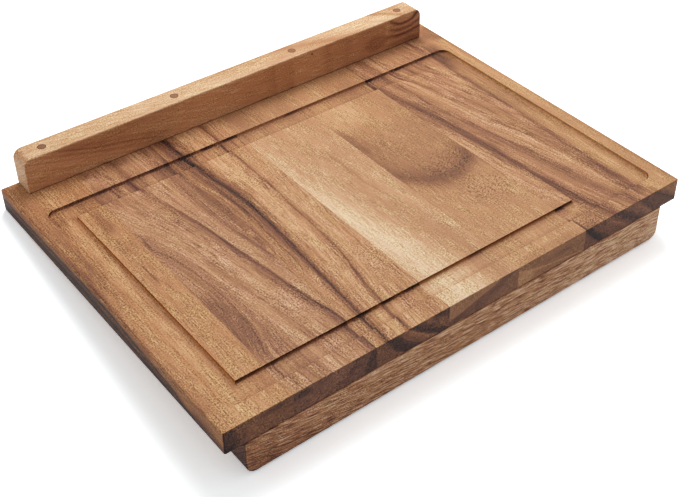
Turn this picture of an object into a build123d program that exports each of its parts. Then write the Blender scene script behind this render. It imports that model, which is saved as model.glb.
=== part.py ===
"""Counter-edge cutting board: a slab of edge-glued staves with a juice groove, a back rail on
top and a matching lip below.

Frame: X runs along the counter's edge, Y from the user towards the wall, Z up. The origin is the
inside corner that meets the counter: the middle of the line where the lip's rear face and the
slab's underside meet. Millimetres.
"""
from build123d import *
import os

# ---- driving dimensions ----------------------------------------------------------------------
board_width = 613.0
board_depth = 457.0
board_thickness = 28.0
board_edge_round = 1.2
board_corner_round = 2.0

batten_height = 44.0          # the back rail and the front lip are cut from one section
batten_thickness = 29.0
batten_length = 567.0
batten_left_inset = 21.5      # from the slab's left side; on the right it is 3 mm more
batten_end_round = 11.0       # the two outer corners of each batten, seen from the front
batten_edge_round = 1.2
batten_foot_chamfer = 0.7      # eases the edges that meet the slab

# glue lines between the staves, counted from the slab's left side
seam_offsets = [77.0, 174.0, 267.0, 362.0, 462.0, 573.0]

groove_depth = 4.5
groove_cove = 4.0
groove_width = 26.0           # left, front and rear channels
groove_corner = 12.5
groove_side_inset = 18.5      # groove's outer line to the slab's left and right sides
groove_front_inset = 22.0
groove_rail_gap = 42.0        # groove's outer line to the rail's front face
well_width = 105.5            # the wide part of the groove, on the right

screw_count = 4
screw_pitch = 169.5
screw_length = 51.0
screw_crest = 2.1             # thread's outer radius
screw_root = 1.5
screw_thread_pitch = 2.5
screw_thread_length = 32.0
screw_tip_length = 5.0
screw_head_radius = 4.1
screw_head_height = 3.0
screw_recess_width = 3.2
screw_recess_depth = 1.8

plug_radius = 5.0
plug_length = 8.0
plug_chamfer = 0.5
plug_bore_play = 0.05
shank_play = 0.2

# ---- places that follow from them ------------------------------------------------------------
left = -batten_length / 2 - batten_left_inset
right = left + board_width
front = -batten_thickness
rear = front + board_depth
top = board_thickness
rail_face = rear - batten_thickness

groove_left = left + groove_side_inset
groove_right = right - groove_side_inset
groove_front = front + groove_front_inset
groove_rear = rail_face - groove_rail_gap
groove_floor = top - groove_depth
island_left = groove_left + groove_width
island_right = groove_right - well_width
island_front = groove_front + groove_width
island_rear = groove_rear - groove_width

rail_middle = rear - batten_thickness / 2
lip_middle = front + batten_thickness / 2
counterbore_depth = plug_length + screw_head_height
screw_reach = screw_length - (batten_height - counterbore_depth)
screw_places = [(i - (screw_count - 1) / 2) * screw_pitch for i in range(screw_count)]


def block(x0, x1, y0, y1, z0, z1):
    """A box between two corners."""
    middle = Pos((x0 + x1) / 2, (y0 + y1) / 2, (z0 + z1) / 2)
    return middle * Box(x1 - x0, y1 - y0, z1 - z0)


def post(x, y, z0, z1, radius):
    """An upright cylinder from z0 up to z1."""
    return Pos(x, y, (z0 + z1) / 2) * Cylinder(radius, z1 - z0)


def coved_foot(low, high):
    """The island's side view: straight walls that flare into a quarter-round at the floor."""
    foot = groove_floor + groove_cove
    above = top + 1
    below = groove_floor - 1
    walls = Polyline(
        (low - groove_cove, groove_floor),
        (low - groove_cove, below),
        (high + groove_cove, below),
        (high + groove_cove, groove_floor),
    )
    right_cove = CenterArc((high + groove_cove, foot), groove_cove, 180, 90)
    left_cove = CenterArc((low - groove_cove, foot), groove_cove, 270, 90)
    shoulders = Polyline((high, foot), (high, above), (low, above), (low, foot))
    return make_face(walls + right_cove + shoulders + left_cove)


def island():
    """The raised middle field: where two coved extrusions cross, the coves meet in mitres."""
    along_y = Plane.XZ * coved_foot(island_left, island_right)
    along_x = Plane.YZ * coved_foot(island_front, island_rear)
    return extrude(along_y, 2 * board_depth, both=True) & extrude(along_x, board_width, both=True)


def groove():
    """What the router takes out: a round-cornered tray with coved walls, less the island."""
    tray = block(groove_left, groove_right, groove_front, groove_rear, groove_floor, top + 1)
    tray = fillet(tray.edges().filter_by(Axis.Z), groove_corner)
    tray = fillet(tray.faces().sort_by(Axis.Z)[0].edges(), groove_cove)
    return tray - island()


def slab():
    """The whole glued-up board, before the screw holes."""
    body = block(left, right, front, rear, 0, top)
    body = fillet(body.edges().filter_by(Axis.Z), board_corner_round)
    rims = body.faces().sort_by(Axis.Z)[0].edges() + body.faces().sort_by(Axis.Z)[-1].edges()
    return fillet(rims, board_edge_round) - groove()


def batten():
    """The bar that the rail and the lip are made from, standing where the rail goes."""
    bar = block(-batten_length / 2, batten_length / 2, rail_face, rear, top, top + batten_height)
    ends = bar.edges().filter_by(Axis.Y).group_by(Axis.Z)[-1]
    bar = fillet(ends, batten_end_round)
    foot = bar.faces().sort_by(Axis.Z)[0].edges()
    eased = [e for e in bar.edges() if not any(e.is_same(f) for f in foot)]
    long_way = [e for e in eased if abs((e @ 0).Y - (e @ 1).Y) < 1]
    return fillet(long_way, batten_edge_round)


def eased_foot(bar):
    """The bar with a small chamfer all round its foot."""
    return chamfer(bar.faces().sort_by(Axis.Z)[0].edges(), batten_foot_chamfer)


def outer_foot_bevel():
    """The same chamfer along the outer side only: the lip's inner edge stays sharp for the counter."""
    corner = Polyline(
        (rear, top),
        (rear - batten_foot_chamfer, top),
        (rear, top + batten_foot_chamfer),
        close=True,
    )
    return extrude(Plane.YZ * make_face(corner), board_width, both=True)


def rail_bores():
    """Counterbores for the plugs and screw heads, and clearance holes for the shanks."""
    crown = top + batten_height
    holes = []
    for x in screw_places:
        seat = crown - counterbore_depth
        holes.append(post(x, rail_middle, seat, crown + 1, plug_radius + plug_bore_play))
        holes.append(post(x, rail_middle, top - 1, seat, screw_crest + shank_play))
    return holes


def slab_bores():
    """Blind holes that the rail's screws cut in the slab's top."""
    return [post(x, rail_middle, top - screw_reach, top + 1, screw_crest) for x in screw_places]


def screw():
    """A pan-head wood screw, head up, with its seat at z = 0 and its point down."""
    shank_end = screw_thread_length - screw_length
    tip_start = screw_tip_length - screw_length
    turns = int((shank_end - tip_start) / screw_thread_pitch)
    outline = [(0, screw_head_height), (screw_head_radius - 0.6, screw_head_height)]
    outline += [(screw_head_radius, screw_head_height - 0.8), (screw_head_radius, 0)]
    outline += [(screw_crest, 0), (screw_crest, shank_end)]
    for turn in range(turns):
        crest = shank_end - (turn + 0.5) * screw_thread_pitch
        outline.append((screw_root, crest + 0.35 * screw_thread_pitch))
        outline.append((screw_crest, crest))
        outline.append((screw_root, crest - 0.35 * screw_thread_pitch))
    outline += [(screw_root, tip_start), (0, -screw_length)]
    body = revolve(Plane.XZ * make_face(Polyline(outline, close=True)), Axis.Z)
    recess = Pos(0, 0, screw_head_height) * Box(
        screw_recess_width, screw_recess_width, 2 * screw_recess_depth
    )
    return body - recess


def plug():
    """A wooden plug, face up at z = 0, its inner end chamfered."""
    body = Pos(0, 0, -plug_length / 2) * Cylinder(plug_radius, plug_length)
    return chamfer(body.edges().sort_by(Axis.Z)[0], plug_chamfer)


def to_lip(shape):
    """Half a turn about the slab's long middle line, which takes the rail to the lip."""
    middle = Pos(0, (front + rear) / 2, board_thickness / 2)
    return middle * Rot(180, 0, 0) * middle.inverse() * shape


def save(name, shape):
    """Write one sub-part."""
    export_step(shape, os.path.join("parts", name + ".step"))


def main():
    os.makedirs("parts", exist_ok=True)
    rail_holes = rail_bores()
    top_holes = slab_bores()
    board = slab() - top_holes - [to_lip(hole) for hole in top_holes]
    rail = eased_foot(batten()) - rail_holes
    lip = to_lip(batten() - outer_foot_bevel() - rail_holes)

    lines = [left - 1] + [left + offset for offset in seam_offsets] + [right + 1]
    for number, (x0, x1) in enumerate(zip(lines, lines[1:]), start=1):
        stave = board & block(x0, x1, front - 1, rear + 1, -1, top + 1)
        save(f"stave_{number}", stave)

    save("back_rail", rail)
    save("front_lip", lip)

    crown = top + batten_height
    plugs = [Pos(x, rail_middle, crown) * plug() for x in screw_places]
    for number, piece in enumerate(plugs, start=1):
        save(f"rail_plug_{number}", piece)
        save(f"lip_plug_{number}", to_lip(piece))

    screws = [Pos(x, rail_middle, crown - counterbore_depth) * screw() for x in screw_places]
    save("rail_screws", Compound(children=screws))
    save("lip_screws", Compound(children=[to_lip(piece) for piece in screws]))


main()
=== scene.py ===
"""The looks of the counter-edge cutting board: figured wood, a pale floor and soft light."""
import math
from collections import namedtuple

import bpy
from mathutils import Matrix, Vector


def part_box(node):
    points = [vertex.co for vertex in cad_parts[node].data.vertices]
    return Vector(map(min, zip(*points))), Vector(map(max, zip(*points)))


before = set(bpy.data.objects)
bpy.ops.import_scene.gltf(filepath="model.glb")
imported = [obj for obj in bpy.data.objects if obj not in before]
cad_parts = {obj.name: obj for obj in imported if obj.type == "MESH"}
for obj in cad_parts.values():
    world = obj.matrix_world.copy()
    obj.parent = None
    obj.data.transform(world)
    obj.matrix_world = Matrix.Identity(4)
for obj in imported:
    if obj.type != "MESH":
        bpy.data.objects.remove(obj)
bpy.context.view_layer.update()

MM = 0.001
PER_METRE = 1000.0

# ---- the photograph's camera, in millimetres and degrees -------------------------------------
IMAGE_WIDTH = 679
IMAGE_HEIGHT = 497
FOCAL_PIXELS = 1195.5
AXIS_PIXEL = (381.0, 203.5)       # where the lens's axis meets the picture
CAMERA_PLACE = (-643.3, -667.7, 835.6)
CAMERA_AZIMUTH = -38.94
CAMERA_ELEVATION = 37.71
CAMERA_ROLL = 0.47
SENSOR_WIDTH = 36.0
NEAREST_SEEN = 0.01               # metres
FARTHEST_SEEN = 50.0

# ---- the board, in millimetres ---------------------------------------------------------------
BOARD_REAR = PER_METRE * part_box("stave_1")[1].y
BOARD_TOP = PER_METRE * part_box("stave_4")[1].z
RAIL_LOW = PER_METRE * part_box("back_rail")[0]
LIP_LOW, LIP_HIGH = (PER_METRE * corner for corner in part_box("front_lip"))
BOARD_ROUND = 1.2
BATTEN_ROUND = 1.2
GROOVE_BOX = (-286.5, 289.5, -7.0, 357.0)      # the groove's outer outline: X, then Y
ISLAND_BOX = (-260.5, 184.0, 19.0, 331.0)      # the raised field inside it


# ---- short calls for shader nodes ------------------------------------------------------------
MIX_NUMBERS = (0, 2, 3)      # a Mix node's inputs for numbers: its factor, A and B
MIX_COLOURS = (0, 6, 7)      # its inputs for colours
MIX_COLOUR_RESULT = 2


class Graph:
    """The node tree of a material or world, and short calls that add to it.

    A value passed to a call is a number, a colour or another node's output.
    """

    def __init__(self, owner):
        owner.use_nodes = True
        self.owner = owner
        self.tree = owner.node_tree
        self.tree.nodes.clear()

    def node(self, kind, **settings):
        made = self.tree.nodes.new("ShaderNode" + kind)
        for key, value in settings.items():
            setattr(made, key, value)
        return made

    def put(self, socket, value):
        """Link a node's output to a socket, or set the socket to a number or colour."""
        if isinstance(value, bpy.types.NodeSocket):
            self.tree.links.new(value, socket)
        else:
            socket.default_value = value

    def fill(self, made, *values):
        """Put values into a node's first inputs."""
        for socket, value in zip(made.inputs, values):
            self.put(socket, value)
        return made

    def build(self, kind, inputs):
        """A node whose named inputs are given."""
        made = self.node(kind)
        for name, value in inputs.items():
            self.put(made.inputs[name], value)
        return made

    def math(self, operation, *values, clamp=False):
        made = self.node("Math", operation=operation, use_clamp=clamp)
        return self.fill(made, *values).outputs[0]

    def add(self, first, *others):
        for other in others:
            first = self.math("ADD", first, other)
        return first

    def times(self, first, *others):
        for other in others:
            first = self.math("MULTIPLY", first, other)
        return first

    def less(self, a, b):
        """a minus b."""
        return self.math("SUBTRACT", a, b)

    def absolute(self, value):
        return self.math("ABSOLUTE", value)

    def length(self, a, b):
        return self.math("SQRT", self.add(self.times(a, a), self.times(b, b)))

    def scale(self, vector, factor):
        made = self.node("VectorMath", operation="SCALE")
        self.put(made.inputs[0], vector)
        self.put(made.inputs["Scale"], factor)
        return made.outputs[0]

    def parts(self, vector):
        """A vector's X, Y and Z."""
        return self.fill(self.node("SeparateXYZ"), vector).outputs

    def span(self, value, low, high, to_low=0.0, to_high=1.0, smooth=False):
        """to_low where the value is at low, to_high where it is at high, and no further."""
        made = self.node("MapRange", clamp=True)
        if smooth:
            made.interpolation_type = "SMOOTHSTEP"
        return self.fill(made, value, low, high, to_low, to_high).outputs[0]

    def noise(self, *axes, scale=1.0, detail=2.0, roughness=0.5):
        """Noise around zero, about -0.5 to 0.5.

        Each of its three axes is a value, or a pair: a value and how fast the noise runs along it.
        """
        places = [self.times(*axis) if isinstance(axis, tuple) else axis for axis in axes]
        vector = self.fill(self.node("CombineXYZ"), *places).outputs[0]
        inputs = {"Vector": vector, "Scale": scale, "Detail": detail, "Roughness": roughness}
        return self.less(self.build("TexNoise", inputs).outputs[0], 0.5)

    def curve(self, value, points):
        """A smooth line through (value, result) points."""
        lows = [min(p[i] for p in points) for i in (0, 1)]
        sizes = [max(max(p[i] for p in points) - lows[i], 1e-6) for i in (0, 1)]
        spots = sorted([(p[i] - lows[i]) / sizes[i] for i in (0, 1)] for p in points)
        made = self.node("FloatCurve")
        line = made.mapping.curves[0]
        while len(line.points) < len(spots):
            line.points.new(0.5, 0.5)
        for point, spot in zip(line.points, spots):
            point.location = spot
            point.handle_type = "AUTO_CLAMPED"
        made.mapping.update()
        self.put(made.inputs["Value"], self.span(value, lows[0], lows[0] + sizes[0]))
        return self.add(self.times(made.outputs[0], sizes[1]), lows[1])

    def ramp(self, value, stops, size):
        """A colour along 0 to size, from (place, colour) stops."""
        made = self.node("ValToRGB")
        elements = made.color_ramp.elements
        while len(elements) < len(stops):
            elements.new(1.0)
        for element, (place, colour) in zip(elements, stops):
            element.position = place / size
            element.color = (*colour, 1)
        self.put(made.inputs[0], self.math("DIVIDE", value, size))
        return made.outputs[0]

    def levels(self, value, stops, size):
        """A number along 0 to size, from (place, percent) stops."""
        greys = [(place, [percent / 100] * 3) for place, percent in stops]
        grey = self.ramp(value, greys, size)
        return self.times(grey, 1.0)      # a Math node turns the grey into a number

    def blend(self, factor, a, b):
        """The number a where factor is 0, b where it is 1."""
        made = self.node("Mix", data_type="FLOAT")
        for index, value in zip(MIX_NUMBERS, (factor, a, b)):
            self.put(made.inputs[index], value)
        return made.outputs[0]

    def mix(self, factor, a, b, mode="MIX"):
        """The colour a where factor is 0, and where it is 1 b, or a times b if mode is MULTIPLY."""
        made = self.node("Mix", data_type="RGBA", blend_type=mode)
        for index, value in zip(MIX_COLOURS, (factor, a, b)):
            self.put(made.inputs[index], value)
        return made.outputs[MIX_COLOUR_RESULT]

    def background_ray(self):
        """1 for a ray that should find the background white: the camera's, or in gloss or glass."""
        path = self.node("LightPath").outputs
        seen = self.math("MAXIMUM", path["Is Camera Ray"], path["Is Glossy Ray"])
        return self.math("MAXIMUM", seen, path["Is Transmission Ray"])

    def choose(self, factor, a, b):
        """Shader a where factor is 0, b where it is 1."""
        return self.fill(self.node("MixShader"), factor, a.outputs[0], b.outputs[0])

    def close(self, kind, shader):
        """Send a shader to the output, and give back the material or world."""
        self.put(self.node(kind).inputs["Surface"], shader.outputs[0])
        return self.owner


# ---- wood ------------------------------------------------------------------------------------
# Every piece is figured in shades, 0 dark to 1 pale, and one scale turns a shade into a colour.
# Places are in millimetres. A piece's grain has three: across it, along it and below its face.
WOOD_SCALE = [
    (0.10, "1c1415"), (0.20, "352421"), (0.30, "4f352c"), (0.42, "6c4839"), (0.52, "865c44"),
    (0.60, "9a6b4d"), (0.70, "b3835d"), (0.78, "c8986e"), (0.84, "d6b38c"), (0.92, "ebd2b0"),
]
# hues that a colour is multiplied by
PINKISH = (1.03, 0.985, 1.03)
YELLOWISH = (1.0, 1.01, 0.94)
PALE_HUE = (1.0, 0.94, 0.84)           # golden wood's palest shades
REAR_BOUNCE_HUE = (1.01, 0.96, 0.92)          # painted warm light that the rail reflects onto the slab near it
# painted warm light that the board reflects onto the rail's front and ends
RAIL_FRONT_BOUNCE_HUE = (1.0, 0.90, 0.87)
LIP_HUE = (1.01, 0.93, 0.93)
SIDE_HUE = (1.0, 0.96, 0.86)           # the slab's left side
WALL_SHADE_HUE = (1.20, 0.84, 0.38)          # painted shade: the groove's walls made deeper and more orange

WOOD_ROUGHNESS = 0.58
WOOD_POLISH = 0.25                     # how much smoother the grain's high spots are
WOOD_SPECULAR = 0.10
BUMP_STRENGTH = 0.4
BUMP_HEIGHT = 0.3 * MM

STRAY = 3.0                            # how far the figure strays sideways
FLECKS = 0.86                          # how much each kind of grain changes the shade
FIBRES = 0.42
GROWTH = 0.26
VEINS = 0.10
CLOUDS = 0.12
FLECK_MOST = 0.10                      # caps, so that these two darken more than they lighten
GROWTH_MOST = 0.08
PATCHY = (0.45, 1.25)                  # how weak and how strong flecks and fibres get in places
HUE_DRIFT = (-0.15, 0.15)              # the noise between which the hue goes from pink to yellow

Grain = namedtuple("Grain", "across along depth")


def linear(hex_colour):
    """An sRGB colour such as "c89b6a" as linear red, green and blue."""
    channels = [int(hex_colour[i:i + 2], 16) / 255 for i in (0, 2, 4)]
    return [c / 12.92 if c <= 0.04045 else ((c + 0.055) / 1.055) ** 2.4 for c in channels]


def new_material(name):
    return Graph(bpy.data.materials.new(name))


def surface_place(graph):
    """A point's X, Y and Z in millimetres, and its surface's normal."""
    place = graph.node("TexCoord").outputs
    return graph.parts(graph.scale(place["Object"], PER_METRE)), graph.parts(place["Normal"])


def facing(graph, normal_part):
    """1 where the surface faces along an axis, either way."""
    return graph.span(graph.absolute(normal_part), 0.5, 0.8)


def figure_lines(graph, across, along, margins, guides):
    """A coordinate that is 1 on the first guide line, 2 on the next, and so on across a stave."""
    lines = [graph.curve(along, guide) for guide in guides]
    edges = [graph.less(lines[0], margins[0])] + lines + [graph.add(lines[-1], margins[1])]
    steps = [graph.span(across, a, b) for a, b in zip(edges, edges[1:])]
    return graph.add(*steps)


def wander(graph, grain):
    """How far the figure strays sideways, broadly and finely."""
    across, along, depth = grain
    broad = graph.noise(across, (along, 0.25), depth, scale=0.03, detail=1)
    fine = graph.noise(across, (along, 0.08), depth, scale=0.45, detail=3)
    return graph.add(graph.times(broad, STRAY), graph.times(fine, STRAY))


def patched(graph, shade, across, along, spots):
    """A shade with soft ellipses: (across, along, half width, half length, change of shade)."""
    for a, b, half_width, half_length, change in spots:
        da = graph.math("DIVIDE", graph.less(across, a), half_width)
        db = graph.math("DIVIDE", graph.less(along, b), half_length)
        spot = graph.span(graph.length(da, db), 1.0, 0.4, 0.0, change, smooth=True)
        shade = graph.add(shade, spot)
    return shade


def grain_detail(graph, grain, lane, coarse, lines):
    """Changes of shade and of height, about 0: flecks, and fibres and growth lines along lanes."""

    def layer(place, fine, long, **settings):
        return graph.noise((place, fine), (grain.along, long), (grain.depth, fine), **settings)

    fleck = layer(grain.across, 0.66, 0.50, roughness=0.7)
    fleck = graph.math("MINIMUM", fleck, FLECK_MOST)
    fibre = layer(lane, 0.75, 0.050, roughness=0.6)
    growth = layer(lane, 0.28, 0.010, detail=3, roughness=0.6)
    cloud = layer(grain.across, 0.030, 0.010, detail=3)
    vein = graph.absolute(layer(lane, 0.16, 0.004, detail=1))
    patchy = graph.span(layer(lane, 0.10, 0.02), -0.12, 0.12, *PATCHY)
    shade = graph.add(
        graph.times(fleck, patchy, FLECKS * coarse),
        graph.times(fibre, patchy, FIBRES * coarse),
        graph.times(graph.math("MINIMUM", growth, GROWTH_MOST), GROWTH * lines),
        graph.span(vein, 0.0, 0.03, -VEINS * lines, 0.0),
        graph.times(cloud, CLOUDS),
    )
    return shade, graph.add(fibre, fleck)


def wood_material(graph, grain, shade, height, tint=(1, 1, 1), hues=()):
    """Oiled wood of a shade. Its hue drifts between pinkish and yellowish in long soft streaks."""
    drift = graph.noise(
        (grain.across, 0.10), (grain.along, 0.02), (grain.depth, 0.10), detail=3, roughness=0.65
    )
    ends = [(*(a * b for a, b in zip(hue, tint)), 1) for hue in (PINKISH, YELLOWISH)]
    drifting = graph.mix(graph.span(drift, *HUE_DRIFT), *ends)
    scale = [(place, linear(colour)) for place, colour in WOOD_SCALE]
    colour = graph.mix(1.0, graph.ramp(shade, scale, 1.0), drifting, mode="MULTIPLY")
    for factor, hue in hues:
        colour = graph.mix(factor, colour, (*hue, 1), mode="MULTIPLY")
    bump = graph.build("Bump", {
        "Strength": BUMP_STRENGTH, "Distance": BUMP_HEIGHT, "Height": height,
    })
    shader = graph.build("BsdfPrincipled", {
        "Base Color": colour,
        "Roughness": graph.less(WOOD_ROUGHNESS, graph.times(height, WOOD_POLISH)),
        "Specular IOR Level": WOOD_SPECULAR,
        "Normal": bump.outputs[0],
    })
    return graph.close("OutputMaterial", shader)


# ---- the staves ------------------------------------------------------------------------------
PALEST = 0.82                          # shades above this are held back by PALE_HOLD
PALE_HOLD = 0.55
GOLD_SHADES = (0.74, 0.88)             # where golden wood takes on PALE_HUE
REAR_FADE = (240.0, 400.0)             # the Y between which the painted warm light from the rail comes in
SEAM_DARK = 0.07                       # how much darker: a glue line
CORNER_DARK = 0.20                     # a stave's upright corners
FOOT_PAINTED_SHADOW = 0.22                       # painted shadow along the foot of the slab's ends, where the lip meets the front
WALL_PAINTED_SHADE = 0.20                       # painted shade at the top of the groove's walls
FLOOR_PAINTED_SHADE = 0.07                      # painted shade on its floor beside them
CHANNEL_DARK = 0.05                    # its rear channel
ARCH_REACH = 180.0
ARCH_DOTS_MOST = 0.02                  # a cap, which leaves dark dots only
END_STRAY_BROAD = 5.0                  # how far the rings on the ends stray
END_STRAY_FINE = 1.5
END_GRAIN = 0.9                        # how much of the fine grain the ends show
END_LINES = 0.20                       # their fine growth lines
FOOT_DEPTHS = (26.2, 27.4)
HEART_STRAY = 4.0                      # the dark left side
HEART_STREAKS = 0.50


def box_distance(graph, x, y, box):
    """How far a point is outside a rectangle's edge, negative inside."""
    x0, x1, y0, y1 = box
    dx = graph.less(graph.absolute(graph.less(x, (x0 + x1) / 2)), (x1 - x0) / 2)
    dy = graph.less(graph.absolute(graph.less(y, (y0 + y1) / 2)), (y1 - y0) / 2)
    return graph.math("MAXIMUM", dx, dy)


def above_floor(graph, grain):
    """1 down to the groove's floor, and 0 well below it."""
    return graph.span(grain.depth, 6.0, 5.0)


def groove_wall(graph, x, grain, normal):
    """1 on the groove's steep walls."""
    steep = graph.span(graph.absolute(normal[2]), 0.8, 0.4)
    outside = box_distance(graph, x, grain.along, GROOVE_BOX)
    inside = graph.math("MINIMUM", graph.less(0.0, outside), 1.0, clamp=True)
    below_top = graph.span(grain.depth, 0.1, 0.5)
    return graph.times(steep, below_top, above_floor(graph, grain), inside)


def groove_shade_and_darkening(graph, x, grain, wall):
    """How much darker the groove is: painted shade on its walls' tops and its floor beside them,
    and darker over its rear channel.
    """
    from_outer = graph.absolute(box_distance(graph, x, grain.along, GROOVE_BOX))
    from_island = graph.absolute(box_distance(graph, x, grain.along, ISLAND_BOX))
    from_wall = graph.math("MINIMUM", from_outer, from_island)
    # painted shade on the floor beside the walls
    near_wall_shade = graph.span(from_wall, 10.0, 2.0, 0.0, FLOOR_PAINTED_SHADE)
    floor = graph.times(graph.span(grain.depth, 3.0, 4.3), above_floor(graph, grain))
    rear = graph.span(grain.along, ISLAND_BOX[3], ISLAND_BOX[3] + 3.0, 0.0, CHANNEL_DARK)
    # painted shade, darkest at the top of the groove's walls and gone 3 mm down
    wall_top_shade = graph.times(wall, graph.span(grain.depth, 3.0, 1.0, 0.0, WALL_PAINTED_SHADE))
    return graph.add(wall_top_shade, graph.times(floor, graph.add(near_wall_shade, rear)))


def edge_darkening(graph, grain, normal, width):
    """How much darker a stave's rounded upright corners are, and its glue lines."""
    corner = graph.math("MINIMUM", *(graph.absolute(normal[i]) for i in (0, 1)))
    seam = graph.math("MINIMUM", grain.across, graph.less(width, grain.across))
    return (
        graph.span(corner, 0.25, 0.60, 0.0, CORNER_DARK),
        graph.span(seam, 0.5, 0.1, 0.0, SEAM_DARK),
    )


def front_to_rear(graph, flow, along, spec):
    """A figure's shade, which may change from the board's front to its rear."""
    size = len(spec["guides"]) + 1
    shade = graph.levels(flow, spec["shades"], size)
    if "front" not in spec:
        return shade
    front = graph.levels(flow, spec["front"], size)
    return graph.blend(graph.span(along, *spec["fade"]), front, shade)


def arches(graph, across, along, spec):
    """A flat-sawn figure: nested arches that open to the rear, with rows of dots before them."""
    a0, b0, stretch = spec["arches"]
    da = graph.less(across, a0)
    db = graph.math("DIVIDE", graph.math("MINIMUM", graph.less(along, b0), 0.0), stretch)
    radius = graph.length(da, db)
    dots = graph.math("MINIMUM", graph.noise((radius, 1.1), (across, 0.26), 0.0), ARCH_DOTS_MOST)
    reach = patched(graph, 0.0, across, along, spec["ripples"])
    return graph.add(graph.levels(radius, spec["shades"], ARCH_REACH), graph.times(dots, reach))


def stave_figure(graph, grain, spec):
    """The broad figure of a stave's faces, and the coordinate that its fine lines follow."""
    bent = graph.times(grain.depth, grain.depth, spec["bow"])
    moved = graph.add(grain.across, bent, wander(graph, grain))
    lane = grain.across
    if "arches" in spec:
        shade = arches(graph, moved, grain.along, spec)
    else:
        flow = figure_lines(graph, moved, grain.along, spec["margins"], spec["guides"])
        shade = front_to_rear(graph, flow, grain.along, spec)
        if "lane" in spec:
            lane = graph.times(flow, spec["lane"])
    return patched(graph, shade, moved, grain.along, spec.get("patches", ())), lane


def end_shade(graph, grain, detail, spec):
    """A stave's end: growth rings that cross it in arcs, and a painted shadow line at its foot."""
    broad = graph.noise(grain.across, grain.depth, 0.0, scale=0.08, detail=1)
    fine = graph.noise(grain.across, grain.depth, 7.0, scale=0.5)
    across = graph.add(
        grain.across, graph.times(broad, END_STRAY_BROAD), graph.times(fine, END_STRAY_FINE)
    )
    flow = figure_lines(graph, across, grain.depth, spec["ring_margins"], spec["rings"])
    shade = graph.levels(flow, spec["ring_shades"], len(spec["rings"]) + 1)
    shade = patched(graph, shade, across, grain.depth, spec.get("end_patches", ()))
    rings = graph.noise((flow, 9.0), (grain.depth, 0.05), 0.0)
    shade = graph.add(shade, graph.times(detail, END_GRAIN), graph.times(rings, END_LINES))
    # painted shadow along the foot
    return graph.less(shade, graph.span(grain.depth, *FOOT_DEPTHS, 0.0, FOOT_PAINTED_SHADOW))


def on_left_side(graph, grain):
    """1 on a stave's left side, and 0 from just inside its rounded edge."""
    return graph.span(grain.across, 1.3, 0.3)


def dark_side(graph, shade, grain, spec):
    """Dark heartwood in long stripes, which the saw reached on a stave's left side."""
    stray = graph.noise((grain.depth, 0.2), (grain.along, 0.03), 0.0)
    depth = graph.add(grain.depth, graph.times(stray, HEART_STRAY))
    flow = figure_lines(graph, depth, grain.along, spec["margins"], spec["guides"])
    heart = graph.levels(flow, spec["shades"], len(spec["guides"]) + 1)
    streaks = graph.noise((grain.depth, 0.7), (grain.along, 0.05), 0.0, detail=3, roughness=0.6)
    heart = graph.add(heart, graph.times(streaks, HEART_STREAKS))
    heart = patched(graph, heart, depth, grain.along, spec["patches"])
    return graph.blend(on_left_side(graph, grain), shade, heart)


def stave_hues(graph, grain, shade, wall, spec):
    """Where a stave's colour differs, as pairs of a factor and a hue."""
    # painted warm light from the rail on the slab's rear, and painted shade on the groove's walls
    hues = [(graph.span(grain.along, *REAR_FADE), REAR_BOUNCE_HUE), (wall, WALL_SHADE_HUE)]
    if "side" in spec:
        hues.append((on_left_side(graph, grain), SIDE_HUE))
    if "gold" in spec:
        hues.append((graph.span(shade, *GOLD_SHADES, 0.0, spec["gold"]), PALE_HUE))
    return hues


def figured_stave(node, spec):
    """One stave's wood: its figure on top, its rings in arcs on its ends."""
    low, high = (PER_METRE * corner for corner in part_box(node))
    graph = new_material(node)
    (x, y, z), normal = surface_place(graph)
    grain = Grain(graph.less(x, low.x), y, graph.less(BOARD_TOP, z))
    shade, lane = stave_figure(graph, grain, spec)
    if "side" in spec:
        shade = dark_side(graph, shade, grain, spec["side"])
    detail, height = grain_detail(graph, grain, lane, spec["coarse"], spec["lines"])
    shade = graph.add(shade, detail)
    over = graph.math("MAXIMUM", graph.less(shade, spec.get("palest", PALEST)), 0.0)
    shade = graph.less(shade, graph.times(over, PALE_HOLD))
    shade = graph.blend(facing(graph, normal[1]), shade, end_shade(graph, grain, detail, spec))
    wall = groove_wall(graph, x, grain, normal)
    edge_darks = edge_darkening(graph, grain, normal, high.x - low.x)
    # glue lines, upright corners, and the groove's darkening with its painted shade
    for darkening_and_shade in (*edge_darks, groove_shade_and_darkening(graph, x, grain, wall)):
        shade = graph.less(shade, darkening_and_shade)
    hues = stave_hues(graph, grain, shade, wall, spec)
    return wood_material(graph, grain, shade, height, spec.get("tint", (1, 1, 1)), hues)


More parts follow.
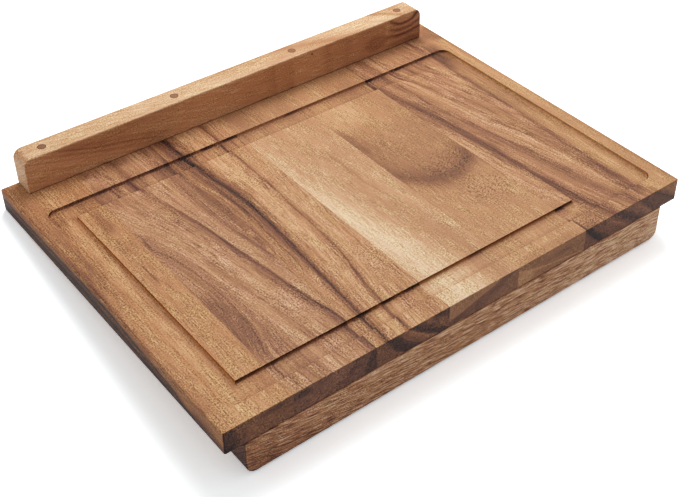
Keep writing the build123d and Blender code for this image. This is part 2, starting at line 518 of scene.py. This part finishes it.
# What the words below mean. X is counted from a stave's left side, Y is the frame's own, and depth
# is counted down from the top. A shade is in percent.
#   guides      lines that the figure follows, from left to right, each of (Y, X) points
#   margins     how far the figure goes on beyond the first guide and the last
#   shades      (lane, shade): lane 1 is the first guide, lane 0 its margin, and so on
#   front       the shades at the front, which give way to the others between the two Y of fade
#   patches     soft ellipses: (X, Y, half width, half length, change of shade)
#   arches      the middle of nested arches, (X, Y), and how long they are for their width; then
#               shades go by their radius, and ripples are patches of dots with their strength
#   rings, ring_margins, ring_shades, end_patches: the same on a stave's ends, with depth for Y
#   side        the same on its left side, with depth for X
#   lane        the width of a lane to the fine lines, where these follow the guides
#   coarse, lines: how strong the flecks and fibres are, and the growth lines
#   bow         how much the figure shifts sideways with the square of the depth
#   tint        a hue for the whole stave
#   gold        how much of PALE_HUE its palest shades take
#   palest      the shade above which it is held back, where that isn't PALEST
STAVES = {
    "stave_1": {
        "guides": [[(-29, 22), (120, 20), (300, 24), (428, 22)]],
        "margins": (22, 55),
        "shades": [(0.0, 57), (0.15, 64), (0.4, 68), (0.7, 72), (1.0, 75), (1.25, 78), (1.45, 74),
                   (1.6, 69), (1.8, 73), (2.0, 73)],
        "front": [(0.0, 62), (0.2, 71), (0.5, 74), (0.8, 77), (1.0, 80), (1.2, 83), (1.35, 77),
                  (2.0, 75)],
        "fade": (60, 260),
        "patches": [(62, 305, 9, 32, -0.09), (59, 198, 2.0, 24, -0.16), (3, 225, 6, 60, -0.10),
                    (0, 160, 4.5, 110, -0.14), (14, 250, 7, 100, -0.07), (23, 335, 13, 45, -0.06),
                    (62, 5, 20, 13, -0.04)],
        "side": {
            "guides": [[(-29, 34), (20, 27), (46, 21), (71, 14.5), (96, 13.4), (121, 11),
                        (146, 9.6), (181, 6.5), (225, 6.5), (256, 8), (287, 9), (337, 10.3),
                        (375, 11), (428, 11.5)],
                       [(-29, 50), (40, 36), (77, 24), (96, 22), (121, 21), (158, 18), (200, 16.5),
                        (240, 16), (300, 18), (428, 20)]],
            "margins": (12, 12),
            "shades": [(0.0, 70), (0.6, 64), (0.82, 54), (0.94, 28), (1.06, 24), (1.18, 38),
                       (1.5, 44), (1.8, 34), (1.95, 20), (2.08, 22), (2.3, 34), (3.0, 30)],
            "patches": [(29, 0, 16, 60, -0.26), (24, 75, 9, 60, -0.08), (14, 10, 6, 30, -0.06)],
        },
        "rings": [[(0, 14), (28, 24)]],
        "ring_margins": (16, 40),
        "ring_shades": [(0.0, 30), (0.5, 33), (0.8, 38), (1.0, 43), (1.3, 48), (2.0, 46)],
        "end_patches": [(54, 5, 18, 5, -0.12), (22, 18, 3, 5, -0.08), (2, 26, 12, 6, -0.14),
                        (5, 12, 14, 18, -0.06), (66, 4, 12, 5, -0.08)],
        "coarse": 1.3, "lines": 0.4, "bow": 0.012, "tint": (1.0, 0.98, 0.93), "gold": 1.0,
    },
    "stave_2": {
        "guides": [[(-29, 12), (20, 9), (43, 13), (68, 19), (100, 22), (131, 22.5), (162, 20),
                    (193, 15.6), (225, 6), (240, 0), (275, -12), (331, -25), (428, -35)],
                   [(-29, 54), (23, 48), (83, 41), (130, 34), (178, 28), (226, 19), (250, 12),
                    (285, 0), (331, -12), (428, -20)],
                   [(-29, 97), (23, 96), (60, 90), (93, 85), (137, 79), (175, 74), (228, 67),
                    (268, 59), (312, 51.5), (359, 48), (428, 47)],
                   [(-29, 118), (23, 116), (93, 105), (137, 99), (175, 93), (228, 87), (268, 86),
                    (428, 86)]],
        "margins": (22, 12),
        "shades": [(0.0, 72), (0.7, 70), (0.9, 66), (0.97, 56), (1.03, 64), (1.15, 71), (1.45, 68),
                   (1.75, 70), (2.0, 73), (2.2, 75), (2.36, 76), (2.5, 71), (2.63, 69), (2.77, 72),
                   (2.88, 67), (2.96, 57), (3.02, 68), (3.1, 75), (3.3, 73), (3.6, 77), (3.8, 69),
                   (3.92, 62), (4.1, 65), (4.5, 65), (4.8, 56), (5.0, 54)],
        "front": [(0.0, 70), (0.7, 68), (0.9, 64), (0.97, 53), (1.03, 62), (1.15, 69), (1.45, 65),
                  (1.62, 70), (1.75, 68), (1.9, 74), (2.0, 79), (2.25, 70), (2.42, 73), (2.52, 78),
                  (2.72, 72), (2.82, 67), (2.92, 57), (2.99, 42), (3.06, 58), (3.14, 75),
                  (3.35, 75), (3.5, 71), (3.7, 74), (3.85, 66), (3.98, 52), (4.08, 62), (4.45, 72),
                  (4.75, 60), (5.0, 62)],
        "fade": (170, 290),
        "patches": [(2, 88, 23, 64, -0.13), (48.5, 183, 1.6, 12, -0.12), (8, 8, 26, 26, 0.07),
                    (8, -20, 20, 20, 0.06), (3, 243, 2.4, 14, -0.16), (8, 345, 11, 40, -0.10),
                    (52, 350, 18, 36, -0.06), (40, 3, 22, 12, -0.04), (95, 345, 7, 34, -0.08),
                    (6, 392, 7, 12, -0.15), (54, 392, 12, 12, -0.07)],
        "rings": [[(0, 74), (6, 70), (26, 51)],
                  [(0, 92), (28, 84)]],
        "ring_margins": (30, 8),
        "ring_shades": [(0.0, 45), (0.3, 47), (0.8, 45), (0.96, 42), (1.0, 35), (1.07, 38),
                        (1.3, 38), (1.6, 42), (1.85, 40), (2.0, 30), (3.0, 28)],
        "end_patches": [(10, 6, 15, 6, -0.15)],
        "lane": 35, "coarse": 1.2, "lines": 1.0, "bow": 0.045, "tint": (1.0, 1.02, 1.10),
        "gold": 0.3,
    },
    "stave_3": {
        "guides": [[(-29, 14), (47, 17.9), (118, 23.3), (190, 27.4), (226, 28.6), (261, 27.4),
                    (295, 22.6), (345, 19), (428, 14)],
                   [(-29, 41), (23, 45.2), (71, 52.9), (130, 61.9), (202, 65.7), (261, 68.6),
                    (428, 69)],
                   [(-29, 68), (428, 96)]],
        "margins": (22, 26),
        "shades": [(0.0, 60), (0.1, 66), (0.2, 62), (0.3, 70), (0.42, 62), (0.58, 50), (0.7, 56),
                   (0.8, 55), (0.92, 44), (1.02, 27), (1.08, 50), (1.18, 66), (1.32, 78),
                   (1.42, 82), (1.8, 78), (1.94, 72), (1.99, 52), (2.05, 70), (2.25, 78), (3.0, 79),
                   (4.0, 79)],
        "front": [(0.0, 71), (0.3, 73), (0.6, 74), (0.76, 69), (0.9, 60), (0.98, 42), (1.02, 36),
                  (1.08, 56), (1.16, 68), (1.3, 74), (1.45, 77), (1.62, 82), (1.78, 78), (1.9, 70),
                  (1.99, 50), (2.06, 62), (2.14, 70), (2.4, 80), (2.6, 77), (3.0, 75), (4.0, 75)],
        "fade": (80, 220),
        "rings": [[(0, 4), (14, 14), (28, 28)],
                  [(0, 18), (10, 24), (20, 33), (28, 45)],
                  [(0, 38), (10, 50), (20, 64), (28, 78)],
                  [(0, 50), (10, 62), (20, 76), (28, 90)],
                  [(0, 68), (14, 88), (28, 104)]],
        "ring_margins": (6, 14),
        "ring_shades": [(0.0, 45), (0.8, 46), (1.0, 35), (1.15, 46), (1.4, 42), (1.65, 26),
                        (2.0, 20), (2.3, 26), (2.5, 42), (2.75, 48), (2.95, 54), (3.02, 60),
                        (3.12, 50), (3.35, 30), (3.6, 22), (4.0, 25), (4.3, 34), (4.6, 48),
                        (5.0, 52), (5.4, 46), (6.0, 40)],
        "end_patches": [(80, 4, 13, 7, -0.14), (93, 8, 3, 22, -0.10)],
        "patches": [(55, 375, 60, 60, -0.04)],
        "lane": 30, "coarse": 1.3, "lines": 1.1, "bow": -0.045, "gold": 0.6,
    },
    "stave_4": {
        "guides": [[(-29, 52), (23, 50), (94, 42), (166, 31), (237, 14), (300, 2), (428, -10)]],
        "margins": (45, 55),
        "shades": [(0.0, 84), (0.6, 86), (0.9, 82), (1.2, 79), (1.5, 78), (1.75, 74), (2.0, 77)],
        "front": [(0.0, 84), (0.4, 89), (0.65, 86), (0.9, 82), (1.1, 79), (1.35, 74), (1.6, 74),
                  (1.85, 78), (2.0, 77)],
        "fade": (150, 260),
        "patches": [(62, 225, 4, 55, -0.05), (50, 395, 75, 60, -0.06), (5, 370, 28, 42, -0.07)],
        "rings": [[(0, 74), (5.5, 61), (10, 42), (16, 22), (20, 4), (28, -20)],
                  [(0, 95), (28, 60)]],
        "ring_margins": (14, 30),
        "ring_shades": [(0.0, 61), (0.6, 59), (0.9, 55), (1.0, 50), (1.1, 43), (1.5, 43), (2.0, 50),
                        (2.4, 52), (3.0, 49)],
        "end_patches": [(12, 23, 16, 7, -0.04), (97, 14, 3, 18, -0.14), (38, 20, 5, 8, -0.05)],
        "coarse": 0.8, "lines": 0.2, "bow": -0.016, "tint": (1.0, 1.05, 1.10), "palest": 0.90,
    },
    "stave_5": {
        "arches": (54, 348, 2.2),
        "shades": [(0, 72), (30, 74), (42, 72), (50, 71), (58, 69), (72, 68), (79, 67), (83, 65),
                   (87, 62), (91, 58), (94, 53), (97, 54), (100, 60), (104, 69), (110, 73),
                   (122, 73), (150, 75), (180, 76)],
        "ripples": [(68, 95, 42, 38, 0.95), (66, 158, 46, 32, 1.1), (36, 222, 18, 38, 0.8)],
        "patches": [(50, -26, 75, 12, -0.06), (16, 318, 50, 56, 0.07), (3, 258, 10, 46, -0.08),
                    (4, 222, 22, 50, -0.03), (22, 372, 30, 34, 0.03), (75, 374, 40, 30, -0.04)],
        "rings": [[(0, -5), (6, 3), (10, 16), (17, 41), (20, 60), (28, 110)]],
        "ring_margins": (25, 30),
        "ring_shades": [(0.0, 57), (0.4, 59), (0.7, 66), (0.93, 66), (1.05, 58), (1.3, 55),
                        (2.0, 55)],
        "end_patches": [(6, 20, 26, 12, 0.13), (60, 10, 34, 7, -0.04)],
        "coarse": 0.9, "lines": 0.2, "bow": -0.012, "tint": (1.0, 1.04, 1.05), "gold": 0.3,
    },
    "stave_6": {
        "guides": [[(-29, 50), (11, 43), (83, 33), (154, 27.4), (226, 19), (273, 11.9), (314, 3),
                    (428, -2)],
                   [(-29, 86), (47, 71.4), (107, 62), (154, 52.4), (214, 43), (273, 35.7),
                    (321, 31), (428, 21)],
                   [(-29, 96), (47, 90.5), (130, 83.3), (178, 73.8), (233, 64.3), (280, 54.8),
                    (321, 47.6), (349, 38), (428, 35)],
                   [(-29, 146), (428, 85)]],
        "margins": (30, 50),
        "shades": [(0.0, 74), (0.2, 79), (0.35, 72), (0.48, 75), (0.6, 68), (0.72, 58), (0.88, 50),
                   (1.0, 48), (1.12, 60), (1.25, 68), (1.42, 73), (1.55, 68), (1.7, 64), (1.88, 57),
                   (1.96, 62), (2.1, 66), (2.25, 71), (2.45, 73), (2.7, 76), (2.86, 78), (2.94, 75),
                   (3.03, 66), (3.2, 71), (3.35, 68), (3.5, 72), (3.65, 72), (3.85, 70), (5.0, 70)],
        "patches": [(98, 70, 10, 110, -0.05), (104.5, 30, 5, 75, -0.15), (107, 130, 5, 80, -0.14),
                    (109.5, 265, 5.5, 125, -0.15), (104, 385, 7, 40, -0.12),
                    (95, 300, 10, 80, 0.04), (1, -22, 3.5, 32, -0.25), (18, -22, 26, 30, -0.14),
                    (93, -8, 14, 30, -0.07)],
        "rings": [[(0, 0), (10, 9), (20, 19), (28, 29)],
                  [(0, 35), (6, 41), (22, 64), (28, 72)],
                  [(0, 52), (12, 66), (20, 78), (28, 90)],
                  [(0, 78), (12, 92), (24, 108), (28, 112)],
                  [(0, 93), (12, 104), (25, 116), (28, 119)]],
        "ring_margins": (8, 10),
        "ring_shades": [(0.0, 44), (0.5, 36), (0.85, 18), (1.0, 12), (1.12, 18), (1.3, 38),
                        (1.6, 44), (1.85, 44), (2.0, 55), (2.15, 46), (2.5, 36), (2.8, 28),
                        (3.0, 24), (3.2, 32), (3.5, 44), (3.75, 48), (4.0, 53), (4.3, 44),
                        (4.7, 36), (5.0, 31), (5.4, 38), (6.0, 42)],
        "lane": 30, "coarse": 1.2, "lines": 1.2, "bow": -0.045, "tint": (1.0, 1.01, 1.05),
        "gold": 0.4,
    },
    "stave_7": {
        "guides": [[(-29, 16), (150, 17), (428, 15)]],
        "margins": (16, 20),
        "shades": [(0.0, 63), (0.3, 69), (0.6, 69), (1.0, 73), (1.3, 77), (1.7, 79), (2.0, 77)],
        "front": [(0.0, 73), (0.5, 78), (1.0, 75), (1.5, 76), (1.8, 74), (2.0, 69)],
        "fade": (60, 240),
        "patches": [(2, -27, 7, 14, -0.12), (4, 345, 14, 42, -0.15), (15, 350, 8, 40, -0.06),
                    (34, 398, 20, 30, -0.15), (10, 394, 16, 18, -0.08), (38, 335, 6, 70, -0.06)],
        "rings": [[(0, 0), (22, 34), (28, 44)]],
        "ring_margins": (10, 14),
        "ring_shades": [(0.0, 38), (0.5, 33), (0.88, 34), (1.0, 22), (1.15, 40), (1.5, 48),
                        (2.0, 56)],
        "coarse": 0.75, "lines": 0.3, "bow": -0.03, "tint": (1.0, 1.04, 1.03), "gold": 1.0,
    },
}


# ---- the rail and the lip --------------------------------------------------------------------
# Their shades are (place, percent) along them, counted from BATTEN_START.
BATTEN_START = -300.0
RAIL_SPAN = 620.0
RAIL_TOP_SHADES = [
    (0, 82), (250, 83), (400, 83), (435, 81), (449, 75), (458, 77), (474, 83), (492, 85), (515, 88),
    (524, 84), (534, 88), (546, 85), (553, 72), (560, 82), (620, 80),
]
RAIL_FRONT_SHADES = [
    (0, 76), (270, 76), (330, 75), (347, 70), (353, 74), (373, 70), (380, 75), (420, 76), (430, 71),
    (440, 74), (462, 70), (472, 74), (488, 70), (500, 70), (530, 73), (560, 66), (590, 58),
]
# soft ellipses (X, height, half width, half length, change of shade); the last is painted shadow,
# darkening the right end near its foot
RAIL_PATCHES = [
    (209, 17, 24, 16, -0.09), (228, 29, 6, 6, 0.12), (105.5, 38.3, 1.6, 1.6, -0.5),
    (-190, 40, 130, 14, -0.05), (255, 5, 40, 6, -0.08),
]
# a darker streak that falls across the rail's front, as (X, height), where in X it comes in and
# goes out, and its profile in percent of the wood's shade
RAIL_LINE = [(-250, 43), (-234, 38), (-187, 24), (-161, 19.5), (-123, 10), (-106, 5)]
RAIL_LINE_IN = (-250.0, -230.0)
RAIL_LINE_OUT = (-100.0, -125.0)
RAIL_LINE_SPAN = 20.0
RAIL_LINE_MIDDLE = 11.0
RAIL_LINE_SHADES = [
    (0, 100), (4.5, 92), (5, 86), (5.5, 94), (8, 96), (10.2, 86), (11, 78), (11.8, 92), (14, 96),
    (16.5, 90), (17.2, 94), (20, 100),
]
RAIL_GRAIN = (0.7, 0.3)        # coarse and lines, as for the staves
RAIL_TOP_EDGE = (41.5, 43.4)   # the heights between which the front's figure gives way to the top's
RAIL_FALL = (0.30, 0.085, 0.25)        # how fast its fine lines run upwards, along and inwards
RAIL_LINES = (0.22, 0.08)              # how strong they are at its left and at its right
END_PALE = 0.10                # how much paler the rail's ends are
FOOT_SHADOW = 0.30             # how much darker the rail is where it meets the slab
FOOT_SHADOW_TOP = (1.6, 4.5)   # how far up that reaches, least and most
FOOT_SHADOW_FULL = 0.4

KNOT_PLACE = (255.0, 42.0)     # along, and up from the rail's foot
KNOT_SIZE = (21.0, 10.2)       # half the first dark arc's width, and its drop
KNOT_REACH = 3.3               # the last arc's radius, where the first dark arc's is 1
KNOT_FADE = 0.7
KNOT_LEFT = (216.0, 246.0)     # the X between which the arcs come in
KNOT_DEPTH = (6.0, 1.0)        # how far in from the front they end
KNOT_STRAY = 0.35
KNOT_SHADES = [
    (0.0, 77), (0.72, 75), (0.88, 60), (1.0, 36), (1.10, 44), (1.22, 66), (1.4, 74), (1.58, 66),
    (1.74, 52), (1.86, 48), (1.98, 60), (2.18, 71), (2.38, 60), (2.54, 40), (2.68, 50), (2.88, 63),
    (3.1, 66), (3.3, 68),
]

LIP_SPAN = 600.0
LIP_SHADES = [
    (0, 57), (60, 66), (110, 71), (160, 73), (270, 73), (400, 74), (450, 79), (520, 80), (600, 83),
]
LIP_FALL = [(-290, 0.0), (-200, 19.0), (-60, 36.0), (100, 44.0), (290, 48.0)]
# its lines, fine to broad: how fast they run across and along, where in the noise, and strength
LIP_LAYERS = [(0.86, 0.056, 0.0, 1.15), (0.30, 0.022, 3.0, 0.20), (0.07, 0.004, 5.0, 0.16)]
LIP_LANE_STRAY = 0.8
LIP_GRAIN = (1.0, 0.3)
LIP_LINE_DARK = 0.23           # how much darker: its thin dark lines
LIP_LINE_PALE = 0.04           # and how much paler the wood between them
LIP_CORNER_DARK = 0.10         # its lower left
LIP_CORNER_UP = (22.0, 2.0)    # the heights and the X between which that comes in
LIP_CORNER_LEFT = (-120.0, -240.0)
LIP_EDGE_SHADOW = 0.22           # painted shadow along its edges, under the slab and near the floor
LIP_LOWER_EDGE = (1.8, 0.6)    # the heights between which that comes in
LIP_UPPER_EDGE = (42.4, 43.6)
LIP_END_SHADOW = 0.30            # painted shade on its ends, under the slab's overhang


def batten_grain(graph, low):
    """A batten's height, length and how far in from its front face, and what faces its ends."""
    (x, y, z), normal = surface_place(graph)
    return Grain(graph.less(z, low.z), x, graph.less(y, low.y)), facing(graph, normal[0])


def knot_shade(graph, shade, grain):
    """Dark arcs under a knot on the rail's top right edge, laid over its front's shade."""
    stray = graph.noise(grain.along, grain.across, 0.0, scale=0.13, detail=3)
    a = graph.math("DIVIDE", graph.less(grain.along, KNOT_PLACE[0]), KNOT_SIZE[0])
    b = graph.math("DIVIDE", graph.less(grain.across, KNOT_PLACE[1]), KNOT_SIZE[1])
    radius = graph.add(graph.length(a, b), graph.times(stray, KNOT_STRAY))
    arcs = graph.levels(radius, KNOT_SHADES, KNOT_REACH)
    strength = graph.times(
        graph.span(radius, KNOT_REACH, KNOT_REACH - KNOT_FADE),
        graph.span(grain.depth, *KNOT_DEPTH),
        graph.span(grain.along, *KNOT_LEFT),
    )
    return graph.blend(strength, shade, arcs)


def rail_top(graph, grain, stray):
    """The shade of the rail's top: bands that slant, less so at its right end."""
    slant = graph.span(grain.along, 100.0, 240.0, 2.9, 1.0)
    place = graph.add(grain.along, graph.times(grain.depth, slant), stray, -BATTEN_START)
    return graph.levels(place, RAIL_TOP_SHADES, RAIL_SPAN)


def rail_front(graph, grain, stray):
    """The shade of the rail's front: bands, patches, the knot's arcs and a falling streak."""
    up, x, _ = grain
    front = graph.levels(graph.add(x, stray, -BATTEN_START), RAIL_FRONT_SHADES, RAIL_SPAN)
    front = patched(graph, front, x, up, RAIL_PATCHES)
    front = knot_shade(graph, front, grain)
    above = graph.less(up, graph.curve(x, RAIL_LINE))
    place = graph.add(above, graph.times(stray, 0.3), RAIL_LINE_MIDDLE)
    seen = graph.times(graph.span(x, *RAIL_LINE_IN), graph.span(x, *RAIL_LINE_OUT))
    line = graph.levels(place, RAIL_LINE_SHADES, RAIL_LINE_SPAN)
    return graph.times(front, graph.blend(seen, 1.0, line))


def rail_material(node):
    """The back rail: pale and streaked on top, darker and banded in front, a knot at its right."""
    graph = new_material(node)
    grain, ends = batten_grain(graph, RAIL_LOW)
    up, x, out = grain
    stray = wander(graph, grain)
    front, top = rail_front(graph, grain, stray), rail_top(graph, grain, stray)
    shade = graph.blend(graph.span(up, *RAIL_TOP_EDGE), front, top)
    falling = graph.add(*(graph.times(*pair) for pair in zip((up, x, out), RAIL_FALL)))
    lines = graph.noise(graph.add(falling, graph.times(stray, 0.15)), 0.0, 0.0, detail=3)
    shade = graph.add(shade, graph.times(lines, graph.span(x, -60.0, 40.0, *RAIL_LINES)))
    shade = graph.add(shade, graph.times(ends, END_PALE))
    spotty = graph.noise((x, 0.05), 0.0, 0.0, detail=3)
    shadow_top = graph.span(spotty, 0.0, 0.25, *FOOT_SHADOW_TOP)
    shadow = graph.span(up, shadow_top, FOOT_SHADOW_FULL, 0.0, FOOT_SHADOW)
    shade = graph.less(shade, shadow)
    detail, height = grain_detail(graph, grain, grain.across, *RAIL_GRAIN)
    # the rail below its top edge takes painted warm light reflected from the board
    hues = [(graph.span(up, *reversed(RAIL_TOP_EDGE)), RAIL_FRONT_BOUNCE_HUE)]
    return wood_material(graph, grain, graph.add(shade, detail), height, hues=hues)


def lip_darkening_and_shade(graph, grain, ends):
    """How much darker the lip is: towards its lower left, and with painted shade along its edges
    and on its ends.
    """
    up, x, _ = grain
    corner = graph.times(
        graph.span(up, *LIP_CORNER_UP), graph.span(x, *LIP_CORNER_LEFT, 0.0, LIP_CORNER_DARK)
    )
    edges = [
        graph.span(up, *heights, 0.0, LIP_EDGE_SHADOW) for heights in (LIP_LOWER_EDGE, LIP_UPPER_EDGE)
    ]
    return graph.add(corner, graph.add(*edges), graph.times(ends, LIP_END_SHADOW))


def lip_material(node):
    """The front lip: long fine wavy lines that run slightly downhill to the right."""
    graph = new_material(node)
    grain, ends = batten_grain(graph, LIP_LOW)
    up, x, out = grain
    stray = graph.times(wander(graph, grain), LIP_LANE_STRAY)
    lane = graph.add(up, graph.curve(x, LIP_FALL), out, stray)
    shade = graph.levels(graph.add(x, -BATTEN_START), LIP_SHADES, LIP_SPAN)
    for across, along, place, strength in LIP_LAYERS:
        layer = graph.noise((lane, across), (x, along), place)
        shade = graph.add(shade, graph.times(layer, strength))
    thin = graph.absolute(graph.noise((lane, 0.26), (x, 0.016), 8.0))
    shade = graph.add(shade, graph.span(thin, 0.0, 0.035, -LIP_LINE_DARK, LIP_LINE_PALE))
    # painted shade on its edges and ends, and darker towards its lower left
    shade = graph.less(shade, lip_darkening_and_shade(graph, grain, ends))
    detail, height = grain_detail(graph, grain, lane, *LIP_GRAIN)
    return wood_material(graph, grain, graph.add(shade, detail), height, LIP_HUE)


# ---- the plugs and the screws ----------------------------------------------------------------
PLUG_SHADE = 0.61
PLUG_SHADES = {"rail_plug_1": 0.55}      # the one that is darker
PLUG_LINES = 0.3
PLUG_RING = (1.0, 0.3)                   # how far in from its rim the dark ring begins and is full
PLUG_RING_DARK = 0.2
ZINC = (0.62, 0.60, 0.55)
ZINC_ROUGHNESS = 0.35


def plug_material(node):
    """A wood plug: a darker piece's end grain, with the thin dark ring of its glue line."""
    low, high = (PER_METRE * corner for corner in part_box(node))
    centre = (low + high) / 2
    radius = (high.x - low.x) / 2
    graph = new_material(node)
    (x, y, z), _ = surface_place(graph)
    grain = Grain(graph.less(x, centre.x), graph.less(y, centre.y), z)
    lines = graph.noise(grain.across, (grain.along, 0.4), 0.0, scale=0.9, detail=3)
    rim = graph.length(grain.across, grain.along)
    begin, full = (radius - inset for inset in PLUG_RING)
    ring = graph.span(rim, begin, full, 0.0, PLUG_RING_DARK)
    plain = PLUG_SHADES.get(node, PLUG_SHADE)
    shade = graph.less(graph.add(plain, graph.times(lines, PLUG_LINES)), ring)
    return wood_material(graph, grain, shade, lines)


def screw_material():
    """Zinc-plated steel with faint drawn marks."""
    graph = new_material("screw_steel")
    place, _ = surface_place(graph)
    marks = graph.noise(*place, scale=3.0, detail=3)
    shader = graph.build("BsdfPrincipled", {
        "Base Color": graph.scale(ZINC, graph.add(1.0, graph.times(marks, 0.2))),
        "Metallic": 1.0,
        "Roughness": graph.add(ZINC_ROUGHNESS, graph.times(marks, 0.3)),
    })
    return graph.close("OutputMaterial", shader)


def dress(node, material):
    """Put a material on a CAD node."""
    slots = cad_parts[node].data.materials
    slots.clear()
    slots.append(material)


def dress_all():
    for node, spec in STAVES.items():
        dress(node, figured_stave(node, spec))
    dress("back_rail", rail_material("back_rail"))
    dress("front_lip", lip_material("front_lip"))
    steel = screw_material()
    for row in ("rail", "lip"):
        for number in range(1, 5):
            node = f"{row}_plug_{number}"
            dress(node, plug_material(node))
        dress(f"{row}_screws", steel)


# ---- floor, light and camera -----------------------------------------------------------------
WHITE = (1, 1, 1, 1)
FLOOR_SIZE = 12.0        # metres
FLOOR_GAP = 0.2 * MM
FLOOR_REAL = (0.85, 0.85, 0.85, 1)         # how much light the floor sends back to the object
FLOOR_SHADED = (1.46, 1.52, 1.55, 1)       # to the camera it is this much shaded white, a bit cool
FLOOR_GLOW = 0.265       # plus this much even white, so that it shows white with a pale shadow
SKY_STRENGTH = 0.47
LAMP_PLACE = Vector((0.7, 0.9, 1.9))       # metres
LAMP_AIM = Vector((0.0, 0.15, 0.0))
LAMP_SIZE = 1.1
LAMP_POWER = 30.0


def add_object(name, data):
    """A new object in the scene."""
    made = bpy.data.objects.new(name, data)
    bpy.context.scene.collection.objects.link(made)
    return made


def floor_frame():
    """Where the floor is, and its tilt.

    It touches the rounded bottom edges of the lip's rear face and the slab's rear edge.
    """
    lip_edge = Vector((0, LIP_HIGH.y - BATTEN_ROUND, LIP_LOW.z + BATTEN_ROUND))
    slab_edge = Vector((0, BOARD_REAR - BOARD_ROUND, BOARD_ROUND))
    run = slab_edge - lip_edge
    angle = math.atan2(run.z, run.y) - math.asin((BOARD_ROUND - BATTEN_ROUND) / run.length)
    turn = Matrix.Rotation(angle, 4, "X")
    normal = turn @ Vector((0, 0, 1))
    return MM * (lip_edge - normal * BATTEN_ROUND) - normal * FLOOR_GAP, turn


def floor_material():
    """Pale to the object's light; to the camera, white with the object's shadow."""
    graph = new_material("floor")
    real = graph.build("BsdfDiffuse", {"Color": FLOOR_REAL})
    shaded = graph.build("BsdfDiffuse", {"Color": FLOOR_SHADED})
    glow = graph.build("Emission", {"Strength": FLOOR_GLOW})
    shown = graph.fill(graph.node("AddShader"), shaded.outputs[0], glow.outputs[0])
    return graph.close("OutputMaterial", graph.choose(graph.background_ray(), real, shown))


def make_floor():
    place, turn = floor_frame()
    half = FLOOR_SIZE / 2
    corners = [(-half, -half, 0), (half, -half, 0), (half, half, 0), (-half, half, 0)]
    mesh = bpy.data.meshes.new("floor")
    mesh.from_pydata(corners, [], [(0, 1, 2, 3)])
    mesh.materials.append(floor_material())
    floor = add_object("floor", mesh)
    floor.matrix_world = Matrix.Translation(place) @ turn


def make_world():
    """An even sky, which shows white behind the object."""
    world = bpy.data.worlds.new("world")
    bpy.context.scene.world = world
    graph = Graph(world)
    sky = graph.build("Background", {"Color": WHITE, "Strength": SKY_STRENGTH})
    white = graph.build("Background", {"Color": WHITE})
    graph.close("OutputWorld", graph.choose(graph.background_ray(), sky, white))


def make_lamp():
    """A square softbox behind the object and to its right."""
    lamp = bpy.data.lights.new("softbox", "AREA")
    lamp.size = LAMP_SIZE
    lamp.energy = LAMP_POWER
    holder = add_object("softbox", lamp)
    holder.location = LAMP_PLACE
    holder.rotation_euler = (LAMP_AIM - LAMP_PLACE).to_track_quat("-Z", "Y").to_euler()


def camera_pose():
    """The camera's place and turn, as a matrix."""
    azimuth = math.radians(CAMERA_AZIMUTH)
    elevation = math.radians(CAMERA_ELEVATION)
    back = Vector((
        math.sin(azimuth) * math.cos(elevation),
        -math.cos(azimuth) * math.cos(elevation),
        math.sin(elevation),
    ))
    side = Vector((0, 0, 1)).cross(back).normalized()
    up = back.cross(side)
    turn = Matrix((side, up, back)).transposed()
    turn = (turn @ Matrix.Rotation(math.radians(CAMERA_ROLL), 3, "Z")).to_4x4()
    return Matrix.Translation(MM * Vector(CAMERA_PLACE)) @ turn


def make_camera():
    data = bpy.data.cameras.new("camera")
    data.sensor_fit = "HORIZONTAL"
    data.sensor_width = SENSOR_WIDTH
    data.lens = SENSOR_WIDTH * FOCAL_PIXELS / IMAGE_WIDTH
    data.shift_x = (IMAGE_WIDTH / 2 - AXIS_PIXEL[0]) / IMAGE_WIDTH
    data.shift_y = (AXIS_PIXEL[1] - IMAGE_HEIGHT / 2) / IMAGE_WIDTH
    data.clip_start = NEAREST_SEEN
    data.clip_end = FARTHEST_SEEN
    data.dof.use_dof = False
    camera = add_object("camera", data)
    camera.matrix_world = camera_pose()
    bpy.context.scene.camera = camera


make_camera()
make_floor()
make_world()
make_lamp()
dress_all()
bpy.context.scene.view_settings.view_transform = "Standard"
